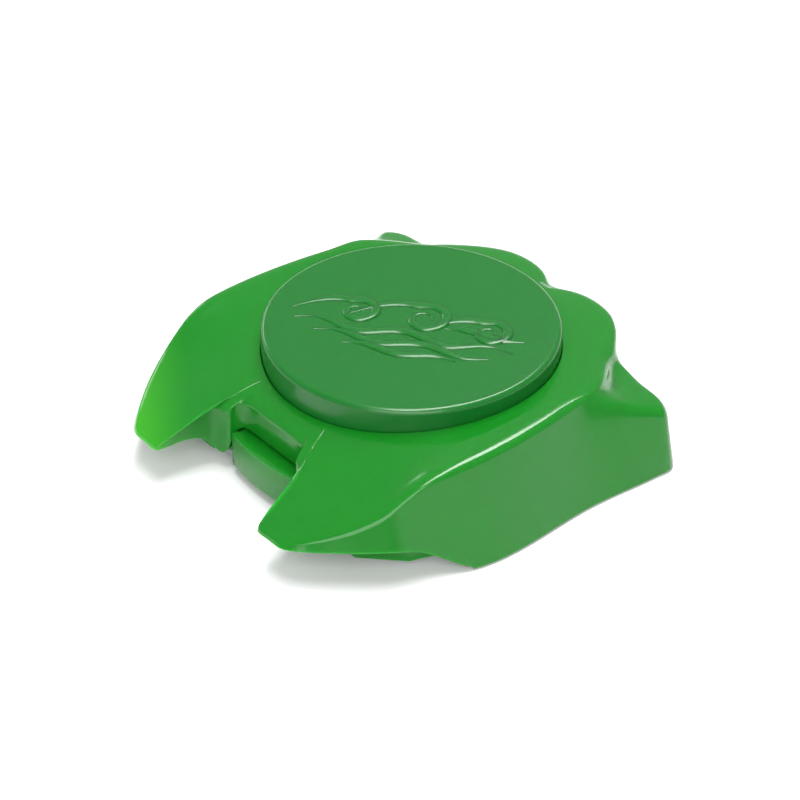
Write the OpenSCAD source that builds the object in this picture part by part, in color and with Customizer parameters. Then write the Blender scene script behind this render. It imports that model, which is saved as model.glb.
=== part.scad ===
/* [Body] */
// Radius of the round press disc
disc_r = 35; // [29:0.5:42]
// Height from the table to the top of the disc
disc_top = 29; // [27:0.5:35]
// Scale of the body's plan, beside what the disc's radius gives it
plan_k = 1.0; // [0.95:0.01:1.2]
// Wall of the top shell
shell_wall = 2.2; // [1.6:0.1:2.6]
// Height of the shell's lower edge above the table
shell_foot = 1; // [0.6:0.1:1.4]
// Radial gap between the disc and the shell's opening
opening_gap = 0.35; // [0.3:0.05:0.6]

/* [Press disc] */
// How far the disc goes down
disc_travel = 2; // [1:0.1:2.4]
// Thickness of the disc's top
disc_wall = 2.5; // [2:0.1:3]
// Depth of the disc's skirt
skirt_depth = 9.8; // [8:0.1:10.5]
// Thickness of the disc's skirt
skirt_wall = 2; // [1.5:0.1:2.5]
// Fillet on the disc's upper edge
disc_round = 0.8; // [0.4:0.1:1.2]

/* [Guides and springs] */
// Distance of the guide screws from the disc's axis
guide_pcd_r = 24; // [22:0.5:26]
// Shank radius of a guide screw
guide_r = 2.5; // [2:0.1:3]
// Running clearance between shank and bush
guide_clear = 0.05; // [0.02:0.01:0.1]
// Wall of a guide bush
bush_wall = 1.2; // [0.8:0.1:1.5]
// Spring wire diameter
spring_wire = 0.9; // [0.7:0.1:1.2]
// Free turns of a return spring
spring_turns = 4.5; // [3:0.5:6]

/* [Base] */
// Thickness of the tray's floor
floor_wall = 2.4; // [2:0.1:3]
// Wall of the tray
tray_wall = 1.8; // [1.4:0.1:2.2]
// Gap between the tray and the shell
tray_gap = 0.4; // [0.3:0.1:0.8]
// Thickness of the steel ballast plate
plate_thick = 2; // [1.5:0.1:2.5]
// Height of the rubber feet
feet_h = 1.6; // [1.2:0.1:2]
// Radius of a rubber foot
feet_r = 7; // [5:0.5:8]
// Height of the front lip above the table
lip_h = 11.5; // [9:0.5:12]

/* [Switch] */
// Length of the microswitch case
case_l = 19.8; // [18:0.1:21]
// Width of the microswitch case
case_w = 6.4; // [6:0.1:7]
// Height of the microswitch case
case_h = 10.2; // [9.5:0.1:10.5]
// Distance from the lever's pivot to the disc's axis
lever_arm = 14; // [12:0.5:15]
// Distance from the lever's pivot to the plunger
plunger_arm = 5.2; // [4.5:0.1:6]
// Clearance between the actuator, the lever and the plunger
touch_gap = 0.06; // [0.04:0.01:0.08]

/* [Jack] */
// Height of the jack's axis above the table
jack_z = 12; // [11.5:0.1:12.5]
// Bore radius of the jack
jack_r = 1.8; // [1.75:0.01:1.9]
// Outer radius of the jack's threaded sleeve
sleeve_r = 3; // [2.8:0.1:3.2]
// Length of the jack's sleeve
sleeve_l = 6.8; // [6:0.1:7]
// Width and height of the jack's body
jack_body_w = 8; // [7.6:0.1:8.2]
// Length of the jack's body
jack_body_l = 13; // [12:0.5:14]

/* [Screws] */
// Shank radius of the shell screws
screw_r = 1.5; // [1.2:0.1:1.7]
// Radius of a screw boss
boss_r = 3.6; // [3.2:0.1:4]

/* [Hidden] */

EPS = 0.01;
SMOOTH = 96;
SMALL = 32;
GREEN = [0.16, 0.52, 0.20];
STEEL = [0.70, 0.71, 0.73];
BRASS = [0.80, 0.66, 0.36];
DARK = [0.12, 0.12, 0.13];

// Plan points are measured from the disc's axis, X to the right and Y to the rear.
// Each station of the half outline is [rim, foot] or, on the wing, [rim, crease, edge, foot].
// Plan points are drawn for a disc radius of 35 and heights for a disc top at 29, and both move with them.
drawn_r = 35;
drawn_top = 29;
plan_s = plan_k * disc_r / drawn_r;
stations = [
  [[0, -40.5, 19.6], [0, -40.7, 11.9]],
  [[5, -40.5, 19.6], [5, -40.7, 11.9]],
  [[8.6, -40.5, 19.5], [8.6, -40.7, 11.9]],
  [[10.9, -41.0, 19.0], [10.9, -41.2, 11.9]],
  [[12.0, -42.4, 18.4], [12.0, -42.6, 10.5]],
  [[12.6, -44.0, 17.8], [12.7, -44.2, 6.5]],
  [[14.4, -44.6, 17.4], [14.5, -44.8, 4.4]],
  [[16.2, -45.4, 17.0], [16.3, -45.6, 5.2]],
  [[17.0, -47.6, 16.6], [17.1, -47.8, 8.2]],
  [[17.8, -52.0, 14.3], [17.9, -52.2, 9.6]],
  [[18.5, -57.2, 11.9], [18.5, -57.4, 9.6]],
  [[19.2, -59.7, 10.8], [19.1, -60.1, 9.6]],
  [[23.4, -59.8, 10.8], [23.4, -60.2, 9.6]],
  [[27.4, -59.5, 10.8], [27.7, -60.0, 9.6]],
  [[30.6, -57.0, 11.8], [31.4, -57.6, 9.7]],
  [[34.3, -53.0, 13.2], [36.0, -52.9, 9.8]],
  [[38.2, -47.4, 15.4], [40.3, -48.0, 9.8]],
  [[41.0, -41.6, 18.0], [44.6, -41.8, 9.6]],
  [[42.3, -37.0, 21.0], [46.4, -35.6, 7.8]],
  [[43.4, -32.4, 23.4], [48.4, -30.6, 4.6]],
  [[44.7, -26.6, 24.6], [51.2, -25.0, 1.2]],
  [[45.4, -18.0, 24.8], [52.6, -18.0, 1.0]],
  [[45.4, -8.0, 24.8], [52.6, -8.0, 1.0]],
  [[44.6, 2.0, 24.8], [51.8, 2.0, 1.0]],
  [[43.4, 10.0, 24.8], [51.4, 10.0, 1.0]],
  [[42.2, 17.0, 24.6], [42.9, 17.2, 23.6], [44.8, 18.4, 20.4], [51.7, 18.0, 1.0]],
  [[40.4, 21.4, 24.3], [41.6, 22.2, 22.0], [46.0, 23.6, 20.0], [52.3, 25.0, 1.0]],
  [[38.0, 25.4, 23.8], [39.0, 26.4, 20.2], [48.6, 28.4, 18.2], [52.6, 31.0, 1.0]],
  [[35.6, 28.4, 23.3], [36.5, 29.5, 19.2], [51.0, 33.2, 17.2], [52.7, 35.0, 1.0]],
  [[33.6, 30.8, 22.9], [34.4, 31.8, 18.8], [47.8, 36.2, 16.9], [49.6, 38.2, 1.0]],
  [[31.8, 33.4, 22.5], [32.6, 34.2, 18.6], [41.4, 36.8, 16.9], [42.6, 38.8, 1.0]],
  [[30.2, 36.2, 22.2], [31.0, 36.8, 18.6], [34.8, 38.0, 16.8], [36.0, 39.8, 1.0]],
  [[27.6, 39.2, 22.0], [29.4, 41.8, 1.0]],
  [[23.4, 43.4, 21.8], [24.8, 45.6, 1.0]],
  [[18.0, 46.8, 21.7], [18.6, 48.6, 1.0]],
  [[11.4, 48.0, 21.6], [11.6, 49.4, 1.0]],
  [[5.8, 47.0, 21.6], [5.9, 48.3, 1.0]],
  [[0, 44.2, 21.6], [0, 45.4, 1.0]]
];
front_rim = 21.8;
side_rim = 24.6;
rear_rim = 23.4;
rim_fillet = 1.3;
edge_fillet = 1.8;
col_steps = 3;

// Levels
plate_z = feet_h;
tray_foot = plate_z + 1;
floor_z = plate_z + plate_thick;
floor_top = floor_z + floor_wall;
disc_under = disc_top - disc_wall;
skirt_foot = disc_top - skirt_depth;
opening_r = disc_r + opening_gap;

// The body's axis of the disc is set back, so that the origin is the middle of the plan.
front_reach = 60.2 * plan_s;
rear_reach = 49.4 * plan_s;
disc_y = (front_reach - rear_reach) / 2;

// Guides
guide_angles = [30, 150, 270];
head_r = 4.5;
head_h = 1.8;
head_top = floor_z + 1.2;
guide_boss_top = floor_top + 6;
bush_r = guide_r + guide_clear + bush_wall;
guide_boss_r = bush_r + 1.8;
flange_h = 0.8;
spring_seat = guide_boss_top + flange_h;
spring_r = guide_r + 2.2;
pad_places = [[24, -14], [-24, -14], [12, 24], [-12, 24]];
pad_h = 3.4;
pad_r = 3.2;
pad_top = disc_under - disc_travel;
guide_tip_h = 5;
guide_tip_r = guide_r - 0.6;

// Switch
switch_foot = floor_top + 1;
case_top = switch_foot + case_h;
pivot_z = case_top + 0.8;
pivot_drop = 0.2;
pivot_r = 0.3;
lever_t = 0.4;
lever_w = 3.6;
lever_rise = 9;
pivot_x = -lever_arm;
plunger_x = pivot_x + plunger_arm;
plunger_r = 1.1;
plunger_dome = 1.6;
plunger_w = 3.2;
plunger_d = 2.2;
case_x0 = pivot_x - 1.8;
case_split = 0.45;
switch_hole_x = [case_x0 + 5.1, case_x0 + 14.6];
switch_hole_z = switch_foot + 2.5;
switch_hole_r = 1.15;
switch_screw_r = switch_hole_r - 0.1;
bracket_t = 1.2;
bracket_foot = 3;
pip_r = 1;
pip_places = [[case_x0 - 1.6, -2.4], [case_x0 + case_l + 1.6, -2.4]];

// The lever's faces at a distance x from its pivot, then the domes that touch them
function lever_under(x) = pivot_z + pivot_drop / cos(lever_rise) + x * tan(lever_rise);
function lever_over(x) = lever_under(x) + lever_t / cos(lever_rise);
actuator_r = 2;
actuator_dome = 2.6;
nut_h = 1.6;
boss_foot = lever_over(lever_arm) + (actuator_dome + touch_gap) / cos(lever_rise);
plunger_top = lever_under(plunger_arm) - (plunger_dome + touch_gap) / cos(lever_rise);

// Jack and screws
jack_wall_y = 44.8 * plan_s;
jack_flange = 0.4;
jack_play = 0.45;
jack_seat_y = jack_wall_y - shell_wall - jack_flange - jack_play;
washer_t = 0.6;
nut_t = 2;
nut_flats_r = sleeve_r + 1.1;
shell_screw_places = [[36.5, -32], [-36.5, -32], [40.5, 29], [-40.5, 29]];
shell_boss_tops = [18.6, 18.6, 17, 17];
screw_head_h = 1.4;
plate_screw_places = [[18, -34], [-18, -34], [26, 30], [-26, 30]];
feet_places = [[27, -25], [-27, -25], [34, 16], [-34, 16]];

// Small helpers on points
function rise(z) = shell_foot + (z - 1) * (disc_top - shell_foot) / (drawn_top - 1);
function place(p) = [p[0] * plan_s, p[1] * plan_s, rise(p[2])];
function mix(a, b, t) = a + (b - a) * t;
function flat(p) = [p[0], p[1]];
function toward(p, q, d) = p + (q - p) * min(0.45, d / max(norm(q - p), 0.001));
function bend(a, p, b, d, t) =
  let (s = toward(p, a, d), e = toward(p, b, d))
  s * (1 - t) * (1 - t) + p * 2 * t * (1 - t) + e * t * t;
function catmull(a, b, c, d, t) =
  0.5 * (2 * b + (c - a) * t + (2 * a - 5 * b + 4 * c - d) * t * t + (3 * b - 3 * c + d - a) * t * t * t);

// One station as four levels: rim, crease, edge, foot
function levels(s) = len(s) == 4 ? [for (p = s) place(p)] :
  let (r = place(s[0]), f = place(s[1])) [r, mix(r, f, 0.12), mix(r, f, 0.4), f];
half = [for (s = stations) levels(s)];
n_half = len(half);
function mirrored(c) = [for (p = c) [-p[0], p[1], p[2]]];
loop = concat(half, [for (i = [n_half - 2 : -1 : 1]) mirrored(half[i])]);
n_loop = len(loop);
function spun(i) = (i + n_loop) % n_loop;
function level_at(i, k, t) = catmull(loop[spun(i - 1)][k], loop[spun(i)][k], loop[spun(i + 1)][k],
  loop[spun(i + 2)][k], t);
columns = [for (i = [0 : n_loop - 1]) for (j = [0 : col_steps - 1])
  [for (k = [0 : 3]) level_at(i, k, j / col_steps)]];
n_cols = len(columns);
function col(i) = columns[(i + n_cols) % n_cols];

// Inward direction of the wall in plan at a column, from the foot curve
function inward(i) =
  let (d = flat(col(i + 1)[3]) - flat(col(i - 1)[3]), l = max(norm(d), 0.001))
  [-d[1] / l, d[0] / l, 0];
function rim_height(a) = let (c = cos(a))
  c > 0 ? mix(side_rim, front_rim, c * c) : mix(side_rim, rear_rim, c * c);
function opening_point(p, r) = let (l = norm(flat(p)), a = atan2(p[0], -p[1]))
  [p[0] / l * r, p[1] / l * r, rise(rim_height(a))];
function sunk(p, foot, t) = min(t, 0.65 * (p[2] - foot[2]));
function inner_point(i, k) = let (p = col(i)[k], f = col(i)[3], n = inward(i))
  [p[0] + n[0] * shell_wall, p[1] + n[1] * shell_wall, p[2] - sunk(p, f, shell_wall)];
function outer_profile(i) =
  let (c = col(i), o = opening_point(c[0], opening_r), r = c[0], m = c[1], e = c[2], f = c[3])
  [o, mix(o, r, 0.5), bend(o, r, m, rim_fillet, 0), bend(o, r, m, rim_fillet, 0.5),
    bend(o, r, m, rim_fillet, 1), m, bend(m, e, f, edge_fillet, 0), bend(m, e, f, edge_fillet, 0.5),
    bend(m, e, f, edge_fillet, 1), f];
function inner_profile(i) =
  let (c = col(i), o = opening_point(c[0], opening_r), n = inward(i))
  [[c[3][0] + n[0] * shell_wall, c[3][1] + n[1] * shell_wall, c[3][2]],
    inner_point(i, 2), inner_point(i, 1), inner_point(i, 0), [o[0], o[1], o[2] - shell_wall]];

// A closed skin through rings of points; wrapped rings make a torus-like shell
module ring_skin(rings) {
  n = len(rings);
  m = len(rings[0]);
  polyhedron(points = [for (r = rings) each r],
    faces = [for (i = [0 : n - 1]) for (j = [0 : m - 1]) for (h = [0, 1])
      let (a = i * m + j, b = i * m + (j + 1) % m, c = ((i + 1) % n) * m + (j + 1) % m,
        d = ((i + 1) % n) * m + j) h == 0 ? [a, c, b] : [a, d, c]]);
}

// A round tube swept along points, with flat ends
module tube(path, r, sides) {
  n = len(path);
  function along(i) = let (v = path[min(i + 1, n - 1)] - path[max(i - 1, 0)]) v / norm(v);
  function side(i) = let (c = cross(along(i), abs(along(i)[2]) > 0.9 ? [1, 0, 0] : [0, 0, 1])) c / norm(c);
  pts = [for (i = [0 : n - 1]) for (j = [0 : sides - 1])
    let (u = side(i), v = cross(along(i), u), a = 360 * j / sides) path[i] + r * (u * cos(a) + v * sin(a))];
  polyhedron(points = pts, faces = concat(
    [[for (j = [0 : sides - 1]) j]],
    [for (i = [0 : n - 2]) for (j = [0 : sides - 1]) for (h = [0, 1])
      let (a = i * sides + j, b = i * sides + (j + 1) % sides) h == 0 ? [a, a + sides, b + sides] :
        [a, b + sides, b]],
    [[for (j = [sides - 1 : -1 : 0]) (n - 1) * sides + j]]));
}

module at_axis() {
  translate([0, disc_y, 0]) children();
}

module each_guide() {
  for (a = guide_angles) rotate(a) translate([guide_pcd_r, 0, 0]) children();
}

module each_at(places) {
  for (p = places) translate([p[0] * plan_s, p[1] * plan_s, 0]) children();
}

// The tray's plan: the shell's foot set in, and cut straight across behind the prongs
tray_front = 43.9 * plan_s;
wall_lean = 0.32 * plan_s;
tray_inset = shell_wall + tray_gap + wall_lean * (floor_top - shell_foot);
tray_from = 17 * col_steps;
tray_to = (2 * (n_half - 1) - 17) * col_steps;
front_x = 31 * plan_s + tray_inset;
module tray_shape(d) {
  offset(delta = -tray_inset - d) polygon(concat(
    [for (i = [tray_from + 2 : 2 : tray_to - 2]) flat(col(i)[3])],
    [[-front_x - 4, 4 - tray_front - tray_inset], [-front_x, -tray_front - tray_inset],
      [front_x, -tray_front - tray_inset], [front_x + 4, 4 - tray_front - tray_inset]]));
}

module top_shell() {
  color(GREEN) at_axis() difference() {
    union() {
      ring_skin([for (i = [0 : n_cols - 1]) concat(outer_profile(i), inner_profile(i))]);
      for (i = [0 : 3]) translate([shell_screw_places[i][0] * plan_s, shell_screw_places[i][1] * plan_s, floor_top])
        cylinder(h = rise(shell_boss_tops[i]) - floor_top, r = boss_r, $fn = SMALL);
    }
    each_at(shell_screw_places) translate([0, 0, floor_top - 1])
      cylinder(h = 9, r = screw_r - 0.2, $fn = SMALL);
    translate([0, jack_wall_y - 8, jack_z]) rotate([-90, 0, 0])
      cylinder(h = 12, r = sleeve_r + 0.15, $fn = SMALL);
    translate([0, jack_wall_y, jack_z]) rotate([-90, 0, 0])
      cylinder(h = 6, r = nut_flats_r + 1, $fn = SMALL);
  }
}

module press_disc() {
  color(GREEN) at_axis() {
    difference() {
      union() {
        rotate_extrude($fn = SMOOTH) difference() {
          union() {
            translate([0, skirt_foot]) square([disc_r, disc_top - disc_round - skirt_foot]);
            translate([0, skirt_foot]) square([disc_r - disc_round, disc_top - skirt_foot]);
            translate([disc_r - disc_round, disc_top - disc_round]) circle(r = disc_round, $fn = SMALL);
          }
          translate([-EPS, skirt_foot - EPS]) square([disc_r - skirt_wall + EPS, disc_under - skirt_foot + EPS]);
        }
        translate([0, 0, boss_foot]) cylinder(h = disc_under - boss_foot + EPS, r = 4.2, $fn = SMALL);
        each_guide() translate([0, 0, disc_under - guide_tip_h])
          cylinder(h = guide_tip_h + EPS, r = guide_r + 1, $fn = SMALL);
      }
      translate([0, 0, boss_foot - EPS]) cylinder(h = disc_under + 1 - boss_foot, r = actuator_r, $fn = SMALL);
      each_guide() translate([0, 0, disc_under - guide_tip_h - EPS])
        cylinder(h = guide_tip_h + 0.5, r = guide_tip_r, $fn = SMALL);
    }
  }
}

// Front lip of the tray: a bowed rim in the notch, and a shelf behind it on two ribs
module lip_shape() {
  intersection() {
    translate([0, 14.8 * plan_s]) circle(r = 60 * plan_s, $fn = 360);
    translate([-11.4 * plan_s, -60 * plan_s]) square([22.8 * plan_s, 17.4 * plan_s]);
  }
}

module lip() {
  translate([0, 0, tray_foot]) linear_extrude(lip_h - tray_foot) lip_shape();
  shelf_back = -36.8 * plan_s;
  shelf_w = 10.9 * plan_s;
  translate([-shelf_w, -43 * plan_s, lip_h - 2]) cube([2 * shelf_w, 43 * plan_s + shelf_back, 2]);
  for (x = [-shelf_w, shelf_w - 2]) translate([x, -43 * plan_s, floor_z])
    cube([2, 43 * plan_s + shelf_back, lip_h - floor_z]);
}

module base_tray() {
  color(GREEN) at_axis() difference() {
    union() {
      translate([0, 0, floor_z]) linear_extrude(floor_wall) tray_shape(0);
      translate([0, 0, tray_foot]) linear_extrude(floor_top - tray_foot) difference() {
        tray_shape(0);
        tray_shape(tray_wall);
      }
      lip();
      each_guide() translate([0, 0, floor_z]) cylinder(h = guide_boss_top - floor_z, r = guide_boss_r, $fn = SMALL);
      for (p = pad_places) translate([p[0], p[1], floor_z])
        cylinder(h = pad_top - pad_h - floor_z, r = pad_r + 1, $fn = SMALL);
      each_at(plate_screw_places) translate([0, 0, floor_z]) cylinder(h = 6, r = boss_r, $fn = SMALL);
      for (p = pip_places) translate([p[0], p[1], floor_z]) cylinder(h = floor_wall + 1.6, r = pip_r, $fn = SMALL);
    }
    each_guide() {
      translate([0, 0, floor_z - 2]) cylinder(h = guide_boss_top, r = bush_r, $fn = SMALL);
      translate([0, 0, floor_z - 2]) cylinder(h = head_top - floor_z + 2, r = head_r + 0.6, $fn = SMALL);
    }
    for (s = [-1, 1]) translate([(s * 15.6 - 3.7) * plan_s, -47 * plan_s, 0])
      cube([7.4 * plan_s, 5 * plan_s, lip_h - 2]);
    each_at(shell_screw_places) translate([0, 0, floor_z - 1]) cylinder(h = 6, r = screw_r + 0.2, $fn = SMALL);
    each_at(plate_screw_places) translate([0, 0, floor_z - 1]) cylinder(h = 6.5, r = screw_r - 0.2, $fn = SMALL);
  }
}

module ballast_plate() {
  color(STEEL) at_axis() translate([0, 0, plate_z]) difference() {
    linear_extrude(plate_thick) tray_shape(tray_wall + 0.3);
    each_guide() translate([0, 0, -1]) cylinder(h = plate_thick + 2, r = head_r + 1, $fn = SMALL);
    each_at(concat(shell_screw_places, plate_screw_places)) {
      translate([0, 0, -1]) cylinder(h = plate_thick + 2, r = screw_r + 0.2, $fn = SMALL);
      translate([0, 0, -1]) cylinder(h = 1 + screw_head_h + 0.1, r = screw_r * 2 + 0.1, $fn = SMALL);
    }
  }
}

module rubber_feet() {
  color(DARK) at_axis() each_at(feet_places) rotate_extrude($fn = 48)
    polygon([[0, 0], [feet_r - 0.4, 0], [feet_r, 0.4], [feet_r, feet_h], [0, feet_h]]);
}

module guide_screws() {
  color(STEEL) at_axis() each_guide() difference() {
    union() {
      translate([0, 0, head_top - head_h]) cylinder(h = head_h, r = head_r, $fn = SMALL);
      translate([0, 0, head_top - EPS])
        cylinder(h = disc_under - guide_tip_h - head_top + EPS, r = guide_r, $fn = SMALL);
      translate([0, 0, disc_under - guide_tip_h - EPS]) cylinder(h = guide_tip_h, r = guide_tip_r, $fn = SMALL);
    }
    translate([0, 0, head_top - head_h - EPS]) cylinder(h = 1.2, r = 1.5, $fn = 6);
  }
}

module guide_bushes() {
  color([0.93, 0.91, 0.84]) at_axis() each_guide() difference() {
    union() {
      translate([0, 0, head_top]) cylinder(h = guide_boss_top - head_top, r = bush_r, $fn = SMALL);
      translate([0, 0, guide_boss_top]) cylinder(h = flange_h, r = guide_boss_r, $fn = SMALL);
    }
    translate([0, 0, head_top - 1]) cylinder(h = spring_seat - head_top + 2, r = guide_r + guide_clear, $fn = SMALL);
  }
}

// A return spring from the bush flange to the disc, with closed ends
module return_spring(a) {
  z0 = spring_seat + spring_wire / 2 + 0.02;
  z1 = disc_under - spring_wire / 2 - 0.02;
  steps = round((spring_turns + 2) * 14);
  function turn(i) = i / 14;
  function height(t) = t < 1 ? z0 + t * spring_wire * 0.35 :
    t > spring_turns + 1 ? z1 - (spring_turns + 2 - t) * spring_wire * 0.35 :
    mix(z0 + spring_wire * 0.35, z1 - spring_wire * 0.35, (t - 1) / spring_turns);
  color([0.62, 0.63, 0.65]) at_axis() rotate(a) translate([guide_pcd_r, 0, 0])
    tube([for (i = [0 : steps]) let (t = turn(i))
      [spring_r * cos(360 * t), spring_r * sin(360 * t), height(t)]], spring_wire / 2, 6);
}

module spring_right() { return_spring(guide_angles[0]); }
module spring_left() { return_spring(guide_angles[1]); }
module spring_front() { return_spring(guide_angles[2]); }

module stop_pads() {
  color(DARK) at_axis() for (p = pad_places) translate([p[0], p[1], pad_top - pad_h])
    cylinder(h = pad_h, r = pad_r, $fn = SMALL);
}

module actuator_screw() {
  color(STEEL) at_axis() union() {
    translate([0, 0, boss_foot - 1.6]) cylinder(h = disc_under + 0.8 - boss_foot + 1.6, r = actuator_r, $fn = SMALL);
    intersection() {
      translate([0, 0, boss_foot]) sphere(r = actuator_dome, $fn = SMALL);
      translate([0, 0, boss_foot - 4]) cylinder(h = 4, r = actuator_r, $fn = SMALL);
    }
  }
}

module actuator_nut() {
  color(STEEL) at_axis() translate([0, 0, boss_foot - nut_h]) difference() {
    cylinder(h = nut_h, r = 4, $fn = 6);
    translate([0, 0, -1]) cylinder(h = nut_h + 2, r = actuator_r, $fn = SMALL);
  }
}

// A side plate with two feet, staked on the tray's pips; the switch is screwed to its side
module switch_bracket() {
  bracket_l = case_l + 2 * bracket_foot;
  color(STEEL) at_axis() difference() {
    union() {
      translate([case_x0 - bracket_foot, -case_w / 2 - bracket_t, floor_top])
        cube([bracket_l, bracket_t, case_h]);
      for (x = [case_x0 - bracket_foot, case_x0 + case_l + 0.2])
        translate([x, -case_w / 2 - EPS, floor_top]) cube([bracket_foot - 0.2, case_w, 0.8]);
    }
    for (x = switch_hole_x) translate([x, -case_w / 2 - bracket_t - 1, switch_hole_z]) rotate([-90, 0, 0])
      cylinder(h = bracket_t + 2, r = switch_screw_r, $fn = SMALL);
    for (p = pip_places) translate([p[0], p[1], floor_top - 1]) cylinder(h = 3, r = pip_r, $fn = SMALL);
  }
}

function terminal_x(i) = case_x0 + 2.6 + i * 7.3;
split_y = -case_w / 2 + case_w * (1 - case_split);
terminal_w = 2.4;
terminal_t = 0.5;

module case_half(y0, y1) {
  difference() {
    translate([case_x0, y0, switch_foot]) cube([case_l, y1 - y0, case_h]);
    for (x = switch_hole_x) translate([x, y0 - 1, switch_hole_z]) rotate([-90, 0, 0])
      cylinder(h = y1 - y0 + 2, r = switch_hole_r, $fn = SMALL);
    translate([plunger_x - plunger_w / 2 - 0.05, -plunger_d / 2 - 0.05, case_top - 3])
      cube([plunger_w + 0.1, plunger_d + 0.1, 4]);
    for (i = [0 : 2]) translate([terminal_x(i) - terminal_w / 2, -terminal_t / 2, switch_foot - 1])
      cube([terminal_w, terminal_t, 4]);
  }
}

module switch_case() {
  color(DARK) at_axis() case_half(split_y, case_w / 2);
}

module switch_cover() {
  color([0.2, 0.2, 0.22]) at_axis() case_half(-case_w / 2, split_y);
}

module switch_plunger() {
  color([0.75, 0.12, 0.1]) at_axis() union() {
    translate([plunger_x - plunger_w / 2, -plunger_d / 2, case_top - 1.8]) cube([plunger_w, plunger_d, 1.4]);
    translate([plunger_x, 0, case_top - 1]) cylinder(h = plunger_top - case_top + 1, r = plunger_r, $fn = SMALL);
    intersection() {
      translate([plunger_x, 0, plunger_top]) sphere(r = plunger_dome, $fn = SMALL);
      translate([plunger_x, 0, plunger_top - EPS]) cylinder(h = plunger_dome + 1, r = plunger_r, $fn = SMALL);
    }
  }
}

module switch_lever() {
  color([0.78, 0.78, 0.8]) at_axis() translate([pivot_x, 0, pivot_z]) rotate([0, -lever_rise, 0]) difference() {
    union() {
      translate([-0.6, -lever_w / 2, pivot_drop]) cube([lever_arm + 3.1, lever_w, lever_t]);
      for (s = [-1, 1]) translate([-0.6, s * (lever_w / 2 - 0.2) - 0.2, -0.6]) cube([1.2, 0.4, 0.8 + EPS]);
    }
    rotate([90, 0, 0]) cylinder(h = lever_w + 1, r = pivot_r + 0.05, center = true, $fn = SMALL);
  }
}

module switch_pivot_pin() {
  ear_y = lever_w / 2 + 0.3;
  color(STEEL) at_axis() {
    translate([pivot_x, 0, pivot_z]) rotate([90, 0, 0])
      cylinder(h = 2 * ear_y + 1, r = pivot_r, center = true, $fn = SMALL);
    for (s = [-1, 1]) translate([pivot_x - 0.8, s * (ear_y + 0.25) - 0.25, case_top])
      cube([1.6, 0.5, pivot_z - case_top + 0.8]);
  }
}

module switch_terminals() {
  color(BRASS) at_axis() for (i = [0 : 2]) translate([terminal_x(i) - terminal_w / 2, 0, 0]) union() {
    translate([0, -terminal_t / 2, floor_top + 0.3]) cube([terminal_w, terminal_t, 3.7]);
    translate([0, -terminal_t / 2, floor_top + 0.3]) cube([terminal_w, case_w / 2 + 1, 0.4]);
  }
}

module switch_screws() {
  color(STEEL) at_axis() for (x = switch_hole_x) translate([x, case_w / 2, switch_hole_z]) rotate([90, 0, 0]) {
    translate([0, 0, -1.3]) cylinder(h = 1.3, r = 2, $fn = SMALL);
    translate([0, 0, -EPS]) cylinder(h = case_w + bracket_t, r = switch_screw_r, $fn = SMALL);
  }
}

// Jack parts lie along Y at the rear; their local Z points out of the rear wall
module at_jack() {
  translate([0, jack_seat_y, jack_z]) rotate([-90, 0, 0]) children();
}

module jack_body() {
  half_w = jack_body_w / 2;
  color(DARK) at_axis() at_jack() difference() {
    translate([-half_w, -half_w, -jack_body_l]) cube([jack_body_w, jack_body_w, jack_body_l]);
    translate([0, 0, 1 - jack_body_l]) cylinder(h = jack_body_l, r = jack_r + 0.3, $fn = SMALL);
    translate([-1.2, -half_w - 1, 1.2 - jack_body_l]) cube([2.4, half_w, jack_body_l - 3]);
    translate([half_w - 1.4, -1.6, -5.2]) cube([2, 3.2, 1.2]);
  }
}

module jack_sleeve() {
  color(STEEL) at_axis() at_jack() difference() {
    union() {
      cylinder(h = jack_flange, r = sleeve_r + 0.8, $fn = SMALL);
      cylinder(h = sleeve_l, r = sleeve_r, $fn = SMALL);
    }
    translate([0, 0, -1]) cylinder(h = sleeve_l + 2, r = jack_r, $fn = SMALL);
  }
}

washer_z = jack_wall_y - jack_seat_y;

module jack_washer() {
  color(STEEL) at_axis() at_jack() translate([0, 0, washer_z]) difference() {
    cylinder(h = washer_t, r = nut_flats_r + 0.6, $fn = SMALL);
    translate([0, 0, -1]) cylinder(h = washer_t + 2, r = sleeve_r, $fn = SMALL);
  }
}

module jack_nut() {
  color(STEEL) at_axis() at_jack() translate([0, 0, washer_z + washer_t]) difference() {
    rotate(30) cylinder(h = nut_t, r = nut_flats_r / cos(30), $fn = 6);
    translate([0, 0, -1]) cylinder(h = nut_t + 2, r = sleeve_r, $fn = SMALL);
  }
}

// The tip contact: a leaf that bows towards the bore, and its solder tail
leaf_z = 1.6 - jack_body_l;
leaf_w = 2;
module jack_tip_spring() {
  color(BRASS) at_axis() at_jack() rotate([0, -90, 0]) translate([0, 0, -leaf_w / 2]) linear_extrude(leaf_w)
    polygon([for (p = [[0, -5.4], [0.4, -5.4], [0.4, -3.5], [3, -3.5], [5, -2.9], [7, -3.5], [7, -3.1],
      [5, -2.5], [3, -3.1], [0, -3.1]]) [leaf_z + p[0], p[1]]]);
}

module jack_sleeve_lug() {
  color(BRASS) at_axis() at_jack() translate([jack_body_w / 2 - 1, -1.5, -4.8]) cube([3.4, 3, 0.5]);
}

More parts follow.
